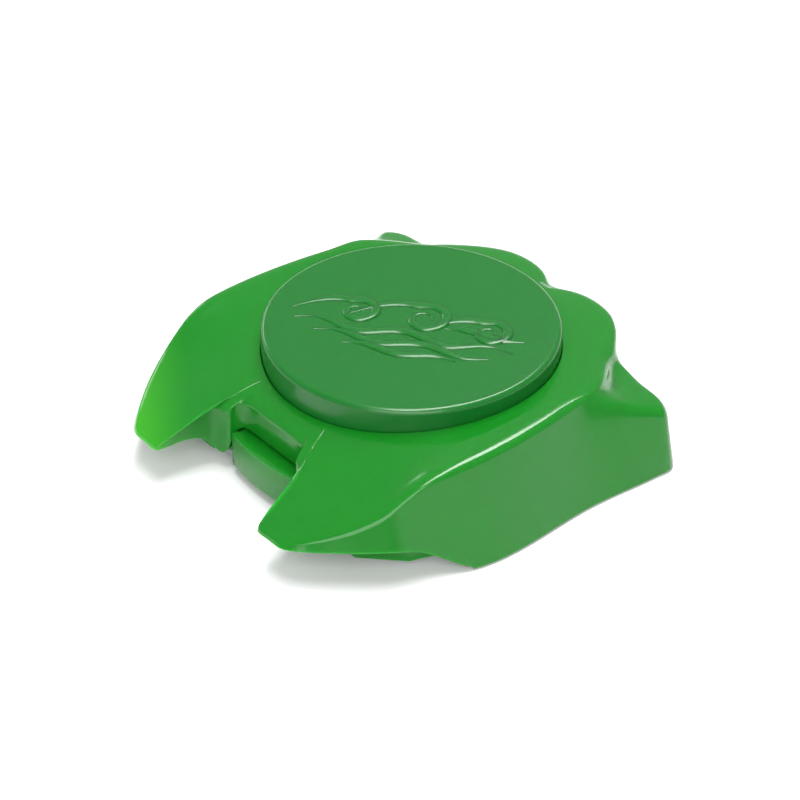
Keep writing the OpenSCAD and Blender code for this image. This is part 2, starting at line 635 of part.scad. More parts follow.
// Leads, each whole along its route from the jack to the switch, by hand-set points from the disc's axis
lead_r = 0.65;
floor_run = floor_top + lead_r + 0.1;
tip_route = [[0, jack_seat_y + leaf_z - 0.05, jack_z + 5], [0, 28.4, jack_z + 4.8], [-0.6, 27, 14.2], [-1.2, 25.4, 10],
  [-2.2, 21.6, floor_run + 0.4], [-4.6, 14.5, floor_run], [-8.6, 9, floor_run], [-12.4, 6.6, floor_run],
  [terminal_x(0), 4.1, floor_run]];
sleeve_route = [[5.4, jack_seat_y - 5, 11.2], [5.4, jack_seat_y - 6.55, 10.6], [5.8, 32, 8.2], [6, 28, floor_run],
  [5.8, 22, floor_run], [4.4, 14.5, floor_run], [2.4, 8.6, floor_run], [terminal_x(2), 4.1, floor_run]];
function curve_points(route, steps) = [for (i = [0 : len(route) - 2]) for (j = [0 : steps - 1])
  catmull(route[max(i - 1, 0)], route[i], route[i + 1], route[min(i + 2, len(route) - 1)], j / steps)];
module lead(route) {
  at_axis() tube(concat(curve_points(route, 4), [route[len(route) - 1]]), lead_r, 8);
}

module lead_tip() { color([0.75, 0.1, 0.1]) lead(tip_route); }
module lead_sleeve() { color([0.1, 0.1, 0.1]) lead(sleeve_route); }

// A small bridge on the floor that holds both leads down
module lead_clip() {
  color([0.9, 0.9, 0.88]) at_axis() translate([-7.8, 12.6, floor_top]) difference() {
    cube([15, 3, 2.8]);
    translate([1.2, -1, -1]) cube([12.6, 5, 2.8]);
  }
}

// A countersunk screw pointing up, its head's flat face at z = 0
module flat_screw(l) {
  difference() {
    union() {
      cylinder(h = screw_head_h, r = screw_r * 2, $fn = SMALL);
      cylinder(h = l, r = screw_r, $fn = SMALL);
    }
    for (a = [0, 90]) rotate(a) translate([-1.6, -0.3, -1]) cube([3.2, 0.6, 1.7]);
  }
}

module shell_screws() {
  color(STEEL) at_axis() each_at(shell_screw_places) translate([0, 0, plate_z]) flat_screw(12);
}

module plate_screws() {
  color(STEEL) at_axis() each_at(plate_screw_places) translate([0, 0, plate_z]) flat_screw(7);
}

top_shell();
press_disc();
base_tray();
ballast_plate();
rubber_feet();
guide_screws();
guide_bushes();
spring_left();
spring_right();
spring_front();
stop_pads();
actuator_screw();
actuator_nut();
switch_bracket();
switch_case();
switch_cover();
switch_plunger();
switch_lever();
switch_pivot_pin();
switch_terminals();
switch_screws();
jack_body();
jack_sleeve();
jack_nut();
jack_washer();
jack_tip_spring();
jack_sleeve_lug();
lead_tip();
lead_sleeve();
lead_clip();
shell_screws();
plate_screws();
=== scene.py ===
# %% [markdown]
# # A round-disc foot switch
# The switch is a low green moulding with a big round plate that a foot presses down. Under the
# mouldings are three springs, a small lever switch, a weight plate and a socket for the lead. The
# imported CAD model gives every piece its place. This lesson gives each of them the shape and
# finish of the real thing.

import math

import bmesh
import bpy
import numpy as np
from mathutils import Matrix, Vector


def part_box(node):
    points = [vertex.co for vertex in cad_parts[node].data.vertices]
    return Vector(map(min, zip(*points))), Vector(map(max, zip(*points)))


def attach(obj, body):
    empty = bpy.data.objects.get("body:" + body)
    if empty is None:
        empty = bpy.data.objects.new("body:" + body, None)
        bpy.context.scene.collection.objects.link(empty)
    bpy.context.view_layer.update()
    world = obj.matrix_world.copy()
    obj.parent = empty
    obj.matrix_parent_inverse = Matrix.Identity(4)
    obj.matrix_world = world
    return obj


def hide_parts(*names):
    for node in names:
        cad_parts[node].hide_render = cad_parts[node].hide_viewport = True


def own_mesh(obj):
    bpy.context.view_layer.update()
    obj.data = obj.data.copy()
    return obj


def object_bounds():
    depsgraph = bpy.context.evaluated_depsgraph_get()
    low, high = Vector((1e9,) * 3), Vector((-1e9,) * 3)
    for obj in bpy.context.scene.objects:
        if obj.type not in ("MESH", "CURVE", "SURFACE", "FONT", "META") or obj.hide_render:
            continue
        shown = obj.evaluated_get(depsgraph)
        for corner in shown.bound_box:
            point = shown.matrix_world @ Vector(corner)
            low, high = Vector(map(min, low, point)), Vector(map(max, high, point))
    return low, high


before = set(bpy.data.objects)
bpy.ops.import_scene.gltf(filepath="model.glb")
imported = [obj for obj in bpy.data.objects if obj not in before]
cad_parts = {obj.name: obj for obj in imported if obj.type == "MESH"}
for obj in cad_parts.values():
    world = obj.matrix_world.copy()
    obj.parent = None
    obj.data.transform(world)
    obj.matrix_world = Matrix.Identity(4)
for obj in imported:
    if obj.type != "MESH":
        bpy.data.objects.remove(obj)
cad_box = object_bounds()
MM = 0.001
box_mm = [[round(c / MM, 1) for c in corner] for corner in cad_box]
print(len(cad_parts), "nodes, box in mm:", box_mm)

# %% [markdown]
# The disc is the part that everything else is measured from, so its axis and its size are read
# from the CAD node. The moulding round it is drawn in millimetres from that axis, as a pattern
# maker would draw it.

# %% Measure the disc
disc_low, disc_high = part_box("press_disc")
disc_r = (disc_high[0] - disc_low[0]) / 2 / MM
axis_y = (disc_high[1] + disc_low[1]) / 2
disc_top = disc_high[2] / MM
disc_foot = disc_low[2] / MM
print("disc radius", round(disc_r, 2), "top", round(disc_top, 2), "foot", round(disc_foot, 2))

# %% [markdown]
# The moulding and the disc are made as a grid of points: rows that go round, and columns across.
# One helper turns such a grid into a closed mesh and shades it smoothly. A subdivided cage would
# need fewer points, but a grid keeps every section where it was drawn.

# %% A mesh from a grid of points
MERGE = 0.002 * MM


def grid_mesh(name, grid):
    """A mesh from rows of points in millimetres from the disc's axis, closed in both directions."""
    rows, columns = grid.shape[:2]
    points = grid.reshape(-1, 3) * MM + np.array([0, axis_y, 0])
    faces = []
    for i in range(rows):
        for j in range(columns):
            k, m = (i + 1) % rows, (j + 1) % columns
            faces.append((i * columns + j, k * columns + j, k * columns + m, i * columns + m))
    mesh = bpy.data.meshes.new(name)
    mesh.from_pydata(points.tolist(), [], faces)
    return finished(name, mesh)


def finished(name, mesh):
    """Merges doubles, points the faces outwards and shades them smooth."""
    work = bmesh.new()
    work.from_mesh(mesh)
    bmesh.ops.remove_doubles(work, verts=work.verts, dist=MERGE)
    bmesh.ops.recalc_face_normals(work, faces=work.faces)
    work.to_mesh(mesh)
    work.free()
    mesh.shade_smooth()
    piece = bpy.data.objects.new(name, mesh)
    bpy.context.collection.objects.link(piece)
    print(name, len(mesh.polygons), "faces")
    return piece


# %% [markdown]
# The moulding's outline isn't a simple curve: two blunt prongs with a notch between them, long
# sides that lean outwards to the table, a flat wing behind each side, and two lobes at the rear.
# So it is drawn at stations round its right half. A station gives the rim, where the top turns
# down, and the foot. On the wing it also gives the crease, where the wall meets the wing, and the
# wing's outer edge.

# %% Stations round the moulding
NOTCH = [
    [(0, -40.5, 19.6), (0, -40.7, 11.9)],
    [(5, -40.5, 19.6), (5, -40.7, 11.9)],
    [(8.6, -40.5, 19.5), (8.6, -40.7, 11.9)],
    [(10.9, -41.0, 19.0), (10.9, -41.2, 11.9)],
    [(12.0, -42.4, 18.4), (12.0, -42.6, 10.5)],
    [(12.6, -44.0, 17.8), (12.7, -44.2, 6.5)],
    [(14.4, -44.6, 17.4), (14.5, -44.8, 4.4)],
    [(16.2, -45.4, 17.0), (16.3, -45.6, 5.2)],
    [(17.0, -47.6, 16.6), (17.1, -47.8, 8.2)],
]
PRONG = [
    [(17.8, -52.0, 14.3), (17.9, -52.2, 9.6)],
    [(18.5, -57.2, 11.9), (18.5, -57.4, 9.6)],
    [(19.2, -59.7, 10.8), (19.1, -60.1, 9.6)],
    [(23.4, -59.8, 10.8), (23.4, -60.2, 9.6)],
    [(27.4, -59.5, 10.8), (27.7, -60.0, 9.6)],
    [(30.6, -57.0, 11.8), (31.4, -57.6, 9.7)],
    [(34.3, -53.0, 13.2), (36.0, -52.9, 9.8)],
    [(38.2, -47.4, 15.4), (40.3, -48.0, 9.8)],
    [(41.0, -41.6, 18.0), (44.6, -41.8, 9.6)],
    [(42.3, -37.0, 21.0), (46.4, -35.6, 7.8)],
]
SIDE = [
    [(43.4, -32.4, 23.4), (48.4, -30.6, 4.6)],
    [(44.7, -26.6, 24.6), (51.2, -25.0, 1.2)],
    [(45.4, -18.0, 24.8), (52.6, -18.0, 1.0)],
    [(45.4, -8.0, 24.8), (52.6, -8.0, 1.0)],
    [(44.6, 2.0, 24.8), (51.8, 2.0, 1.0)],
    [(43.4, 10.0, 24.8), (51.4, 10.0, 1.0)],
]
WING = [
    [(42.2, 17.0, 24.6), (42.9, 17.2, 23.6), (44.8, 18.4, 20.4), (51.7, 18.0, 1.0)],
    [(40.4, 21.4, 24.3), (41.6, 22.2, 22.0), (46.0, 23.6, 20.0), (52.3, 25.0, 1.0)],
    [(38.0, 25.4, 23.8), (39.0, 26.4, 20.2), (48.6, 28.4, 18.2), (52.6, 31.0, 1.0)],
    [(35.6, 28.4, 23.3), (36.5, 29.5, 19.2), (51.0, 33.2, 17.2), (52.7, 35.0, 1.0)],
    [(33.6, 30.8, 22.9), (34.4, 31.8, 18.8), (47.8, 36.2, 16.9), (49.6, 38.2, 1.0)],
    [(31.8, 33.4, 22.5), (32.6, 34.2, 18.6), (41.4, 36.8, 16.9), (42.6, 38.8, 1.0)],
    [(30.2, 36.2, 22.2), (31.0, 36.8, 18.6), (34.8, 38.0, 16.8), (36.0, 39.8, 1.0)],
]
REAR = [
    [(27.6, 39.2, 22.0), (29.4, 41.8, 1.0)],
    [(23.4, 43.4, 21.8), (24.8, 45.6, 1.0)],
    [(18.0, 46.8, 21.7), (18.6, 48.6, 1.0)],
    [(11.4, 48.0, 21.6), (11.6, 49.4, 1.0)],
    [(5.8, 47.0, 21.6), (5.9, 48.3, 1.0)],
    [(0, 44.2, 21.6), (0, 45.4, 1.0)],
]


RIM_REACH = 2.4
LEAST_SHARE, MOST_SHARE = 0.12, 0.45


def levels(station):
    """Rim, crease, edge and foot. On a plain wall, two of its points stand in for the middle ones."""
    if len(station) == 4:
        return np.array(station, float)
    rim, foot = np.array(station[0], float), np.array(station[-1], float)
    wall = foot - rim
    share = min(MOST_SHARE, max(LEAST_SHARE, RIM_REACH / np.linalg.norm(wall)))
    return np.array([rim, rim + wall * share, rim + wall * max(0.4, share + 0.25), foot])


right = np.array([levels(s) for s in NOTCH + PRONG + SIDE + WING + REAR])
left = right[-2:0:-1] * np.array([-1, 1, 1])
outline = np.concatenate([right, left])
width, length = np.ptp(outline[..., 0]), np.ptp(outline[..., 1])
print(len(outline), "stations, width", round(width, 1), "length", round(length, 1))

# %% [markdown]
# A curve through the stations makes the outline continuous. A spline whose speed follows the
# distance between its points doesn't swing out at sharp corners, and a little averaging
# afterwards rounds the corners the way a polished mould does.

# %% Smooth the outline
STEPS = 12
OUTLINE_PASSES = 14
LOW_FOOT, FOOT_Z = 1.3, 0.5


def closed_spline(points, steps):
    """A closed curve through the points, with this many steps from each point to the next."""
    n = len(points)
    result = []
    for i in range(n):
        p = [points[(i + k) % n] for k in (-1, 0, 1, 2)]
        t = [0.0]
        for a, b in zip(p, p[1:]):
            t.append(t[-1] + max(np.linalg.norm(b - a), 1e-6) ** 0.5)
        for s in range(steps):
            u = t[1] + (t[2] - t[1]) * s / steps
            a = [(p[k] * (t[k + 1] - u) + p[k + 1] * (u - t[k])) / (t[k + 1] - t[k]) for k in range(3)]
            b = [(a[k] * (t[k + 2] - u) + a[k + 1] * (u - t[k])) / (t[k + 2] - t[k]) for k in range(2)]
            result.append((b[0] * (t[2] - u) + b[1] * (u - t[1])) / (t[2] - t[1]))
    return np.array(result)


def averaged(rings, passes):
    """Moves each row towards the mean of its neighbours, so many times."""
    for _ in range(passes):
        rings = (np.roll(rings, 1, axis=0) + 2 * rings + np.roll(rings, -1, axis=0)) / 4
    return rings


rings = np.stack([closed_spline(outline[:, k], STEPS) for k in range(4)], axis=1)
rings = averaged(rings, OUTLINE_PASSES)
rings[:, 3, 2] = np.where(rings[:, 3, 2] < LOW_FOOT, FOOT_Z, rings[:, 3, 2])
print(len(rings), "columns round the moulding")

# %% [markdown]
# Across the wall the moulding has an upright edge round the opening, a narrow collar beside the
# disc, the sloping top, the rim, the wall and the foot, and then the inside of the wall. Each
# corner is rounded by its own amount. A short curve between two points near the corner does that.

# %% Round a line's corners
ARC_POINTS = 6
MOST_REACH = 0.45


def rounded(corners, between):
    """A closed line through corners. Each is a point and the reach of its rounding."""
    arcs = []
    before, after_them = corners[-1:] + corners[:-1], corners[1:] + corners[:1]
    for (a, _), (p, reach), (b, _) in zip(before, corners, after_them):
        start, end = (p + (q - p) * min(MOST_REACH, reach / max(np.linalg.norm(q - p), 1e-3))
                      for q in (a, b))
        t = np.linspace(0, 1, ARC_POINTS)[:, None]
        arcs.append(start * (1 - t) ** 2 + p * 2 * t * (1 - t) + end * t**2)
    line = []
    for arc_points, after, count in zip(arcs, arcs[1:] + arcs[:1], between):
        t = np.linspace(0, 1, count + 2)[1:-1, None]
        line += [arc_points, arc_points[-1] * (1 - t) + after[0] * t]
    return np.concatenate(line)


# %% [markdown]
# The opening is round while the outline isn't, so each column of the grid starts at its own
# bearing on the opening. The bearings are spread out smoothly first, because columns that bunch
# up would show as creases.

# %% Bearings on the opening
BEARING_PASSES = 900
OPENING_SIDE, OPENING_FRONT, OPENING_REAR = 24.6, 21.8, 23.4

bearings = np.unwrap(np.arctan2(rings[:, 0, 0], -rings[:, 0, 1]))
even = np.linspace(0, 2 * math.pi, len(bearings), endpoint=False) + bearings[0]
bearings = even + averaged(bearings - even, BEARING_PASSES)


def round_opening(index, radius, drop=0.0):
    """A point on a circle round the disc. The top is highest at the sides and lowest in front."""
    c = math.cos(bearings[index])
    end = OPENING_FRONT if c > 0 else OPENING_REAR
    height = OPENING_SIDE + (end - OPENING_SIDE) * c * c
    return np.array([radius * math.sin(bearings[index]), -radius * c, height - drop])


print("opening between", OPENING_FRONT, "and", OPENING_SIDE, "mm high")

# %% [markdown]
# One function draws the section for each column, and the sections side by side are the moulding.
# The top is then averaged both along and across: most beside the collar, least at the rim. So the
# rim keeps its drawn line while the top flows round the disc without ripples.

# %% Build the moulding
WALL = 2.2
OPENING_R = disc_r + 0.12
COLLAR = 2.2
TOP_POINTS = 16
RING_PASSES, CROSS_PASSES, LAST_PASSES = 900, 60, 12


def section(index):
    """The closed cross-section of the moulding at one column, rounded at every corner."""
    rim, crease, edge, foot = rings[index]
    along = rings[(index + 1) % len(rings), 3] - rings[index - 1, 3]
    inward = np.array([-along[1], along[0], 0]) / np.linalg.norm(along[:2])
    lip = round_opening(index, OPENING_R)
    under = round_opening(index, OPENING_R, WALL)
    collar = round_opening(index, OPENING_R + COLLAR)
    foot_in = foot + inward * WALL

    def inside(point):
        return point + inward * WALL - np.array([0, 0, min(WALL, 0.65 * (point[2] - foot[2]))])

    corners = [(under, 0.2), (lip, 0.25), (collar, 0.3), (rim, 3.2), (crease, 2.2), (edge, 3.0),
               (foot, 0.35), (foot_in, 0.35), (inside(edge), 1.0), (inside(rim), 1.0)]
    return rounded(corners, (1, 0, TOP_POINTS, 0, 1, 8, 0, 3, 1, 3))


grid = np.array([section(i) for i in range(len(rings))])
top_from = 3 * ARC_POINTS + 1
top_to = top_from + TOP_POINTS
for k in range(TOP_POINTS):
    ease = 1 - (k + 1) / (TOP_POINTS + 1)
    grid[:, top_from + k] = averaged(grid[:, top_from + k], int(RING_PASSES * ease))
for _ in range(CROSS_PASSES):
    top = grid[:, top_from - ARC_POINTS - 1:top_to + 1]
    top[:, 1:-1] = (top[:, :-2] + 2 * top[:, 1:-1] + top[:, 2:]) / 4
grid[:, top_from:top_to] = averaged(grid[:, top_from:top_to], LAST_PASSES)
shell = grid_mesh("shell_moulding", grid)
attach(shell, "housing")
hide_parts("top_shell")

# %% [markdown]
# The disc is turned: one profile goes round the axis. Its upper edge has a small fillet that
# catches the light all the way round, and the skirt goes down into the moulding.

# %% Turn the press disc
ROUND_STEPS = 256


def turned(name, profile):
    """A profile of radii and heights, turned once round the disc's axis."""
    radius, height = np.array(profile, float).T
    angles = np.linspace(0, 2 * math.pi, ROUND_STEPS, endpoint=False)
    return grid_mesh(name, np.stack([
        np.stack([radius * math.cos(a), radius * math.sin(a), height], axis=1) for a in angles]))


def arc(x, z, radius, start, end, count):
    """Points on an arc round (x, z), from one angle in degrees to another."""
    return [(x + radius * math.cos(math.radians(a)), z + radius * math.sin(math.radians(a)))
            for a in np.linspace(start, end, count)]


EDGE = 1.2
SKIRT = 2.0
PLATE = 2.5
disc_profile = (
    [(0, disc_top)] + [(r, disc_top) for r in np.linspace(6, disc_r - EDGE - 0.4, 6)]
    + arc(disc_r - EDGE, disc_top - EDGE, EDGE, 90, 0, 9)
    + [(disc_r, disc_foot + 3), (disc_r, disc_foot + 0.3), (disc_r - 0.3, disc_foot)]
    + [(disc_r - SKIRT, disc_foot), (disc_r - SKIRT, disc_top - PLATE - 0.5)]
    + [(disc_r - SKIRT - 0.5, disc_top - PLATE), (0, disc_top - PLATE)]
)
disc = turned("press_plate", disc_profile)
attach(disc, "press")
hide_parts("press_disc")

# %% [markdown]
# Three breaking waves over a long swell stand just under half a millimetre proud of the disc, as
# a moulded ornament. Each stroke is a line drawn on the disc, and one node tree sweeps a flat,
# rounded section along it that thins out towards both ends.

# %% Strokes of the ornament
TURN = math.radians(33)


def curl(u, v, size, turns=1.35):
    """One wave: a long back that rises and then rolls in on itself."""
    back = [(u - size * 1.9 + size * 1.9 * t,
             v - size * 0.75 * (1 - t) ** 1.6 + size * 0.25 * math.sin(t * 3))
            for t in np.linspace(0, 0.85, 12)]
    top_u, top_v = back[-1]
    roll = []
    for t in np.linspace(0.06, 1, 30):
        a = math.radians(118 - 360 * turns * t)
        r = size * 0.62 * (1 - 0.78 * t)
        roll.append((top_u + size * 0.3 + r * math.cos(a), top_v - size * 0.5 + r * math.sin(a)))
    return back + roll


def swell(u0, u1, v, height, waves):
    """A long low line of this many half waves."""
    return [(u, v + height * math.sin(waves * math.pi * (u - u0) / (u1 - u0)))
            for u in np.linspace(u0, u1, 50)]


strokes = [
    curl(-13.5, 4.5, 8.0), curl(2.5, 6.5, 9.5), curl(18.5, 4.5, 8.0),
    swell(-27, 26, -5.2, 1.5, 5.0), swell(-21, 21, -8.8, 1.2, 4.0),
    swell(-13, 14, -12.0, 0.9, 3.0), swell(8, 27, 0.2, 0.8, 2.0),
]
lines = bpy.data.curves.new("ornament_lines", "CURVE")
lines.dimensions = "3D"
for stroke in strokes:
    line = lines.splines.new("POLY")
    line.points.add(len(stroke) - 1)
    for point, (u, v) in zip(line.points, stroke):
        x = u * math.cos(TURN) - v * math.sin(TURN)
        y = u * math.sin(TURN) + v * math.cos(TURN)
        point.co = (x * MM, y * MM + axis_y, disc_top * MM, 1)
print(len(strokes), "strokes")


# %% [markdown]
# Node trees are built the same way each time: inputs with names, a few nodes, then Realize
# Instances and Set Material. The helpers below add an input, join nodes, and bake a tree's result
# to a plain mesh.

# %% Helpers for node trees
def new_tree(name, inputs):
    """An empty tree with a geometry input and a named input for each size."""
    tree = bpy.data.node_groups.new(name, "GeometryNodeTree")
    tree.interface.new_socket("Geometry", in_out="INPUT", socket_type="NodeSocketGeometry")
    for label, value in inputs.items():
        kind = "NodeSocketInt" if isinstance(value, int) else "NodeSocketFloat"
        socket = tree.interface.new_socket(label, in_out="INPUT", socket_type=kind)
        socket.default_value = value
    tree.interface.new_socket("Geometry", in_out="OUTPUT", socket_type="NodeSocketGeometry")
    return tree, tree.nodes.new("NodeGroupInput")


def finish_tree(tree, geometry, material):
    """Ends a tree: instances become real mesh, and the material is set."""
    realize = tree.nodes.new("GeometryNodeRealizeInstances")
    paint = tree.nodes.new("GeometryNodeSetMaterial")
    paint.inputs["Material"].default_value = material
    end = tree.nodes.new("NodeGroupOutput")
    tree.links.new(geometry, realize.inputs[0])
    tree.links.new(realize.outputs[0], paint.inputs["Geometry"])
    tree.links.new(paint.outputs[0], end.inputs[0])


def baked(name, data, tree, values):
    """Runs the tree on data with these input values and keeps the result as a plain mesh."""
    source = bpy.data.objects.new(name + "_source", data)
    bpy.context.collection.objects.link(source)
    modifier = source.modifiers.new(tree.name, "NODES")
    modifier.node_group = tree
    for item in tree.interface.items_tree:
        if item.item_type == "SOCKET" and item.in_out == "INPUT" and item.name in values:
            modifier[item.identifier] = values[item.name]
    result = source.evaluated_get(bpy.context.evaluated_depsgraph_get())
    mesh = bpy.data.meshes.new_from_object(result)
    bpy.data.objects.remove(source)
    return finished(name, mesh)


# %% [markdown]
# No real surface is equally glossy all over. So every finish is one shader whose gloss varies a
# little, with a faint unevenness where the material has one. Both come from noise on the piece's
# own coordinates, and so they stay with the piece when it moves.

# %% One helper for all finishes
def finish_of(name, colour, roughness, **more):
    """A material with this colour and roughness, and its shader."""
    material = bpy.data.materials.new(name)
    material.use_nodes = True
    tree = material.node_tree
    shader = tree.nodes["Principled BSDF"]
    shader.inputs["Base Color"].default_value = (*colour, 1)
    shader.inputs["Roughness"].default_value = roughness
    for key in ("Metallic", "IOR"):
        if key.lower() in more:
            shader.inputs[key].default_value = more[key.lower()]
    coords = tree.nodes.new("ShaderNodeTexCoord")
    noise = tree.nodes.new("ShaderNodeTexNoise")
    noise.inputs["Scale"].default_value = more.get("grain", 300)
    noise.inputs["Detail"].default_value = 4
    tree.links.new(coords.outputs["Object"], noise.inputs["Vector"])
    gloss = tree.nodes.new("ShaderNodeMapRange")
    gloss.inputs["To Min"].default_value = roughness * (1 - more.get("spread", 0.25))
    gloss.inputs["To Max"].default_value = roughness * (1 + more.get("spread", 0.25))
    tree.links.new(noise.outputs["Fac"], gloss.inputs["Value"])
    tree.links.new(gloss.outputs["Result"], shader.inputs["Roughness"])
    bump = tree.nodes.new("ShaderNodeBump")
    bump.inputs["Strength"].default_value = more.get("relief", 0.1)
    bump.inputs["Distance"].default_value = more.get("depth", 0.00005)
    tree.links.new(noise.outputs["Fac"], bump.inputs["Height"])
    tree.links.new(bump.outputs["Normal"], shader.inputs["Normal"])
    return material, shader


# %% [markdown]
# The green mouldings are coloured through, a little translucent and polished, so light goes a few
# millimetres in. That brightens thin places such as the tips. A blend to a yellower green along
# one direction is painted light there, a painted glow, because the thin wall of the left prong lets
# more light through than the shader shows.

# %% Green plastic
# Painted glow: along this direction, between these distances, the colour blends to a yellower green for
# light through the left prong.
PAINTED_GLOW_WAY = (-0.55, -0.83, -0.10)
PAINTED_GLOW_FROM, PAINTED_GLOW_TO = 44 * MM, 66 * MM


def green_plastic(name, colour, painted_glow_colour, roughness, spread):
    """Coloured-through plastic with a painted glow, blending to painted_glow_colour towards its left
    prong.
    """
    material, shader = finish_of(name, colour, roughness, grain=140, relief=0.0, spread=spread,
                                 ior=1.42)
    shader.inputs["Subsurface Weight"].default_value = 0.5
    shader.inputs["Subsurface Radius"].default_value = (0.4, 1.0, 0.2)
    shader.inputs["Subsurface Scale"].default_value = 4.0 * MM
    tree = material.node_tree
    coords = tree.nodes.new("ShaderNodeTexCoord")
    towards = tree.nodes.new("ShaderNodeVectorMath")
    towards.operation = "DOT_PRODUCT"
    towards.inputs[1].default_value = PAINTED_GLOW_WAY
    # Mask of the painted glow, rising towards the left prong.
    painted_glow_mask = tree.nodes.new("ShaderNodeMapRange")
    painted_glow_mask.interpolation_type = "SMOOTHSTEP"
    painted_glow_mask.inputs["From Min"].default_value = PAINTED_GLOW_FROM
    painted_glow_mask.inputs["From Max"].default_value = PAINTED_GLOW_TO
    blend = tree.nodes.new("ShaderNodeMix")
    blend.data_type = "RGBA"
    blend.inputs["A"].default_value = (*colour, 1)
    blend.inputs["B"].default_value = (*painted_glow_colour, 1)
    tree.links.new(coords.outputs["Object"], towards.inputs[0])
    tree.links.new(towards.outputs["Value"], painted_glow_mask.inputs["Value"])
    tree.links.new(painted_glow_mask.outputs["Result"], blend.inputs["Factor"])
    tree.links.new(blend.outputs["Result"], shader.inputs["Base Color"])
    return material


# The second colour of each is a painted glow, light coming through the thin left prong.
shell_green = green_plastic(
    "polished_green", (0.004, 0.150, 0.008), (0.035, 0.300, 0.008), 0.15, 0.2)
disc_green = green_plastic(
    "satin_green", (0.004, 0.112, 0.012), (0.004, 0.118, 0.012), 0.22, 0.05)
shell.data.materials.append(shell_green)
disc.data.materials.append(disc_green)
print("green for", shell.name, "and", disc.name)

# %% [markdown]
# The hidden pieces are bright zinc, nickel, drawn wire, sheet steel, brass, rubber and a few
# plastics. Fine noise suits drawn and plated metal, coarser noise suits rolled sheet, and rubber
# gets the deepest unevenness.

# %% The other finishes
zinc, _ = finish_of("zinc_plate", (0.52, 0.53, 0.55), 0.3, metallic=1.0, grain=900, spread=0.4)
nickel, _ = finish_of("nickel_plate", (0.62, 0.60, 0.56), 0.16, metallic=1.0, grain=700)
spring_wire, _ = finish_of(
    "drawn_wire", (0.36, 0.37, 0.39), 0.28, metallic=1.0, grain=1500, spread=0.5)
sheet_steel, _ = finish_of(
    "sheet_steel", (0.45, 0.46, 0.47), 0.4, metallic=1.0, grain=160, spread=0.35)
brass, _ = finish_of("contact_brass", (0.66, 0.43, 0.14), 0.25, metallic=1.0, grain=800)
rubber, _ = finish_of("black_rubber", (0.018, 0.018, 0.019), 0.75, grain=1100, relief=0.5, depth=0.0001)
acetal, _ = finish_of("white_acetal", (0.78, 0.76, 0.68), 0.4, grain=300)
phenolic, _ = finish_of("black_phenolic", (0.014, 0.014, 0.015), 0.45, grain=900, relief=0.3)
cover_grey, _ = finish_of("grey_phenolic", (0.045, 0.045, 0.05), 0.5, grain=900, relief=0.3)
button_red, _ = finish_of("red_button", (0.42, 0.012, 0.01), 0.3, grain=500)
wire_red, _ = finish_of("red_sleeving", (0.38, 0.01, 0.01), 0.42, grain=700)
wire_black, _ = finish_of("black_sleeving", (0.012, 0.012, 0.012), 0.42, grain=700)
print(len(bpy.data.materials), "materials")

# %% [markdown]
# The ornament's tree sets how wide the stroke is along its length, sweeps the flat section along
# it and ends in the disc's own plastic. Half of the section is inside the disc, so the stroke
# grows out of it.

# %% Sweep the ornament
stroke_tree, given = new_tree("ornament_stroke", {"Width": 0.7 * MM, "Height": 0.3 * MM, "Sides": 10})
nodes, links = stroke_tree.nodes, stroke_tree.links
along = nodes.new("GeometryNodeSplineParameter")
taper = nodes.new("ShaderNodeMath")
taper.operation = "PINGPONG"
taper.inputs[1].default_value = 0.5
swell_out = nodes.new("ShaderNodeMapRange")
swell_out.interpolation_type = "SMOOTHSTEP"
swell_out.inputs["From Max"].default_value = 0.3
swell_out.inputs["To Min"].default_value = 0.25
upright = nodes.new("GeometryNodeSetCurveNormal")
upright.mode = "Z_UP"
section_ring = nodes.new("GeometryNodeCurvePrimitiveCircle")
flatten = nodes.new("GeometryNodeTransform")
size = nodes.new("ShaderNodeCombineXYZ")
size.inputs["Z"].default_value = 1
sweep = nodes.new("GeometryNodeCurveToMesh")
sweep.inputs["Fill Caps"].default_value = True
links.new(along.outputs["Factor"], taper.inputs[0])
links.new(taper.outputs[0], swell_out.inputs["Value"])
links.new(given.outputs["Geometry"], upright.inputs["Curve"])
links.new(given.outputs["Sides"], section_ring.inputs["Resolution"])
links.new(given.outputs["Width"], size.inputs["X"])
links.new(given.outputs["Height"], size.inputs["Y"])
section_ring.inputs["Radius"].default_value = 1
links.new(section_ring.outputs["Curve"], flatten.inputs["Geometry"])
links.new(size.outputs[0], flatten.inputs["Scale"])
links.new(upright.outputs[0], sweep.inputs["Curve"])
links.new(flatten.outputs[0], sweep.inputs["Profile Curve"])
links.new(swell_out.outputs["Result"], sweep.inputs["Scale"])
finish_tree(stroke_tree, sweep.outputs[0], disc_green)
stroke_sizes = {"Width": 1.25 * MM, "Height": 0.45 * MM, "Sides": 12}
ornament = baked("wave_ornament", lines, stroke_tree, stroke_sizes)
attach(ornament, "press")

# %% [markdown]
# Springs, screws and feet come in sets. The places of a set are read from its CAD node: points
# that are close together in plan belong to one solid, and its middle is where one copy stands.

# %% Places of the pieces in a set
def places(node, reach):
    """The middle of each separate solid of a node, at its lowest level."""
    groups = []
    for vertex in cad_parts[node].data.vertices:
        near = [g for g in groups if (vertex.co.xy - g[0].xy).length < reach]
        if near:
            near[0].append(vertex.co.copy())
        else:
            groups.append([vertex.co.copy()])
    middles = []
    for group in groups:
        spans = [(min(p[k] for p in group), max(p[k] for p in group)) for k in range(3)]
        middles.append((sum(spans[0]) / 2, sum(spans[1]) / 2, spans[2][0]))
    print(node, [[round(c / MM, 1) for c in m] for m in middles])
    return middles


def point_mesh(name, points):
    mesh = bpy.data.meshes.new(name)
    mesh.from_pydata(points, [], [])
    return mesh


